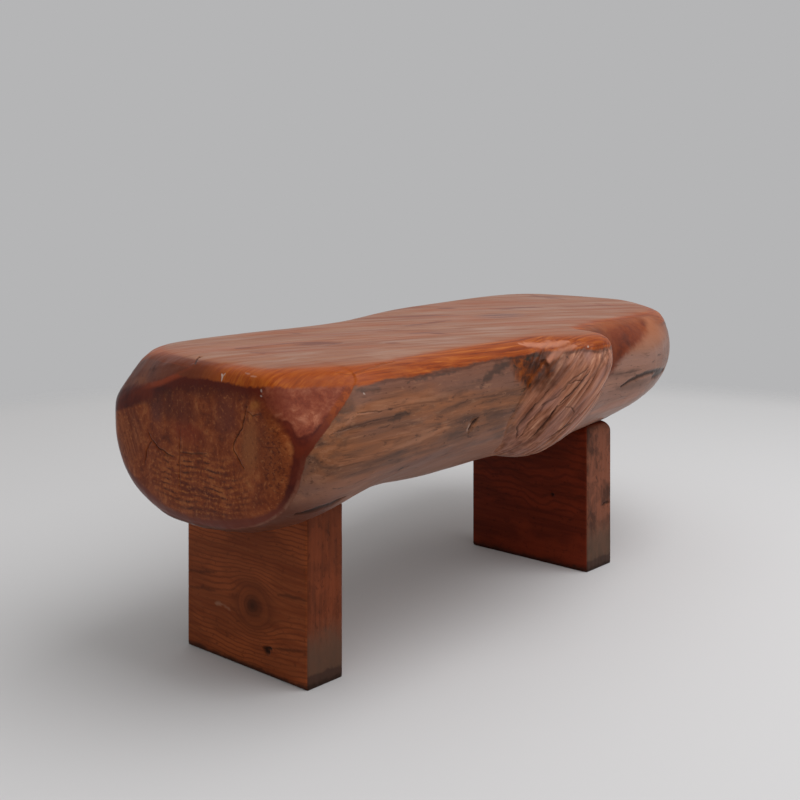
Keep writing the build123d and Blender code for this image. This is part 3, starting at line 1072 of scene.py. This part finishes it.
def board_material(name, knot, radius, period, light, dark, narrow, rings_at, bend, ring_strength, wear):
    """A pine board whose grain lines run level and part round a knot.

    light and dark are the wide side's colours, and narrow the narrow side's. The
    rings come up between the two heights of rings_at. bend is how often and how
    far the grain wanders, and wear how strongly the narrow side is mottled.
    """
    paint = Paint(name)
    _, y, z = paint.split(paint.warp(*bend))
    flow, ring = paint.parted(paint.minus(y, knot[0]), paint.minus(z, knot[1]), radius, 1.2)
    inside = paint.rise(ring, radius * 1.08, radius * 0.98)
    phase = paint.add("Mix", {0: inside, 2: flow, 3: ring}, data_type="FLOAT").outputs[0]
    fine = paint.grain((3, 6, 150))
    broad = paint.grain((6, 9, 22), 3, 0.5)
    speckle = paint.grain((10, 90, 160), 3, 0.7)
    broken = paint.times(paint.rise(broad, 0.34, 0.56, 0.25, 1.0), paint.rise(speckle, 0.32, 0.52, 0.4, 1.0))
    rings = paint.times(paint.rise(paint.wave(phase, period), 0.10, 0.95), broken)
    rings = paint.times(rings, paint.rise(paint.z, *rings_at, 0.10, 1.0))
    halo = paint.times(paint.rise(ring, radius * 0.55, radius * 0.75), paint.rise(ring, radius, radius * 0.8))

    upright = paint.grain((110, 110, 6))
    patch = paint.grain((34, 34, 24), 4, 0.6)
    pores = paint.grain((190, 190, 90), 3, 0.7)
    ragged = paint.plus(paint.z, patch, -0.07)
    foot = paint.plus(paint.z, paint.grain((60, 60, 60)), -0.012)
    edge = paint.tint(
        colour(*scaled(narrow, 0.86)),
        (upright, 0.36, 0.60, narrow, 1.0),
        (patch, 0.50, 0.60, scaled(narrow, 1.22), wear),
        (patch, 0.48, 0.38, scaled(narrow, 0.60), wear),
        (pores, 0.56, 0.68, scaled(narrow, 0.5), 0.45),
        (pores, 0.40, 0.30, scaled(narrow, 1.25), 0.3),
        (ragged, 0.062, 0.000, (82, 64, 52), 0.8),
        (foot, 0.014, 0.010, (46, 30, 28), 0.6),
    )
    tone = paint.tint(
        colour(*dark),
        (fine, 0.32, 0.66, light, 1.0),
        (broad, 0.44, 0.62, scaled(light, 1.18), 0.6),
        (speckle, 0.44, 0.30, scaled(dark, 0.6), 0.5),
        (rings, scaled(dark, 0.55), ring_strength),
        (ring, radius * 1.7, radius * 0.8, scaled(dark, 0.72), 0.5),
        (halo, scaled(light, 1.1), 0.25),
        (ring, radius * 0.7, 0.0, scaled(dark, 0.45), 0.85),
        (paint.mask("hairs"), scaled(dark, 0.42), 0.7),
        (paint.mask("narrow"), edge, 1.0),
        (foot, 0.004, -0.003, (40, 24, 16), 0.8),
        (paint.mask("chips"), (24, 16, 10), 0.9),
        (paint.mask("scratches"), (166, 128, 104), 0.65),
    )
    return paint.finish(tone, 0.5, fine, 0.2, 0.08)


def dowel_material():
    paint = Paint("beech_dowel")
    grain = paint.grain((160, 160, 12))
    tone = paint.ramp(grain, (0.35, 150, 104, 66), (0.65, 184, 138, 94))
    return paint.finish(tone, 0.6, grain, 0.2, 0.3)


# ---- Room, light and camera -------------------------------------------------
FLOOR_RADIUS = 2.35
FLOOR_FADE = 0.5  # how wide a rim of it fades into the backdrop
FLOOR_TONE = (205, 205, 207)
BACKDROP = (181, 181, 182)
DAYLIGHT = (0.99, 0.975, 0.95, 1)
BRIGHT_SIDE = (0.75, -0.66, 0.0)  # the half of the room that the light comes from


def make_floor():
    """A pale round floor that fades out at its rim."""
    bpy.ops.mesh.primitive_circle_add(vertices=128, radius=FLOOR_RADIUS, fill_type="NGON")
    floor = bpy.context.object
    floor.name = "studio_floor"
    paint = Paint("pale_floor")
    pale = paint.add("BsdfDiffuse", {"Color": colour(*FLOOR_TONE)})
    clear = paint.add("BsdfTransparent")
    flat = paint.add("VectorMath", {0: paint.place}, operation="LENGTH").outputs["Value"]
    rim = paint.rise(flat, FLOOR_RADIUS - FLOOR_FADE, FLOOR_RADIUS - 0.02)
    mixed = paint.add("MixShader", {0: rim, 1: pale.outputs[0], 2: clear.outputs[0]})
    paint.add("OutputMaterial", {0: mixed.outputs[0]})
    floor.data.materials.append(paint.material)


def make_world():
    """Soft light from above and from one side, behind a plain backdrop."""
    world = bpy.data.worlds.new("pale_room")
    bpy.context.scene.world = world
    world.use_nodes = True
    tree = world.node_tree
    tree.nodes.clear()

    def add(kind, inputs=None, **settings):
        return add_node(tree, kind, inputs, **settings)

    rays = add("LightPath")
    seen = rays.outputs["Is Camera Ray"]
    for kind in ("Is Transmission Ray", "Is Glossy Ray"):
        seen = add("Math", {0: seen, 1: rays.outputs[kind]}, operation="MAXIMUM").outputs[0]
    way = add("TexCoord").outputs["Generated"]
    height = add("SeparateXYZ", {0: way}).outputs[2]
    overhead = add("MapRange", {0: height, 1: 0.0, 2: 1.0, 3: 0.40, 4: 0.95})
    side = add("VectorMath", {0: way, 1: BRIGHT_SIDE}, operation="DOT_PRODUCT")
    turned = add("MapRange", {0: side.outputs["Value"], 1: -1.0, 2: 1.0, 3: 0.50, 4: 1.20})
    strength = add("Math", {0: overhead.outputs[0], 1: turned.outputs[0]}, operation="MULTIPLY")
    lit = add("Background", {0: DAYLIGHT, 1: strength.outputs[0]})
    backdrop = add("Background", {0: colour(*BACKDROP)})
    mixed = add("MixShader", {0: seen, 1: lit.outputs[0], 2: backdrop.outputs[0]})
    add("OutputWorld", {0: mixed.outputs[0]})


def make_lamp(name, place, aim, size, watts):
    lamp = bpy.data.lights.new(name, "AREA")
    lamp.size = size
    lamp.energy = watts
    holder = bpy.data.objects.new(name, lamp)
    holder.location = place
    holder.rotation_euler = (Vector(aim) - Vector(place)).to_track_quat("-Z", "Y").to_euler()
    bpy.context.collection.objects.link(holder)


CAMERA_PLACE = (-1.5712, -1.2889, 0.642)
CAMERA_YAW = 48.21  # degrees from +Y towards +X
CAMERA_LENS = 54.06
CAMERA_SHIFT = -0.256  # the horizon is at row 195 of 800


def make_camera():
    data = bpy.data.cameras.new("camera")
    data.lens = CAMERA_LENS
    data.sensor_width = 36.0
    data.shift_y = CAMERA_SHIFT
    camera = bpy.data.objects.new("camera", data)
    camera.location = CAMERA_PLACE
    camera.rotation_euler = (math.pi / 2, 0, -math.radians(CAMERA_YAW))
    bpy.context.collection.objects.link(camera)
    bpy.context.scene.camera = camera


log = carve_log()
log.data.materials.append(log_material())
near_board = carve_leg("near_leg", "near_leg_board", NEAR_CHIPS, NEAR_SCRATCHES, NEAR_HAIRS)
near_board.data.materials.append(
    board_material(
        "near_board",
        knot=(-0.061, 0.086),
        radius=0.028,
        period=0.0064,
        light=(138, 70, 37),
        dark=(122, 57, 28),
        narrow=(112, 54, 30),
        rings_at=(0.0, 0.01),
        bend=(9, 0.024),
        ring_strength=0.45,
        wear=0.3,
    )
)
far_board = carve_leg("far_leg", "far_leg_board", FAR_CHIPS)
far_board.data.materials.append(
    board_material(
        "far_board",
        knot=(-0.300, 0.163),
        radius=0.010,
        period=0.0140,
        light=(106, 38, 18),
        dark=(88, 29, 14),
        narrow=(106, 62, 45),
        rings_at=(0.084, 0.100),
        bend=(13, 0.050),
        ring_strength=0.4,
        wear=0.75,
    )
)
pale_wood = dowel_material()
for end in ("near", "far"):
    for side in ("front", "back"):
        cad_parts[f"{end}_{side}_dowel"].material_slots[0].material = pale_wood
make_floor()
make_world()
make_lamp("key", place=(0.45, -1.30, 2.6), aim=(0, 0, 0.2), size=2.6, watts=52)
make_camera()
bpy.context.scene.view_settings.view_transform = "Standard"
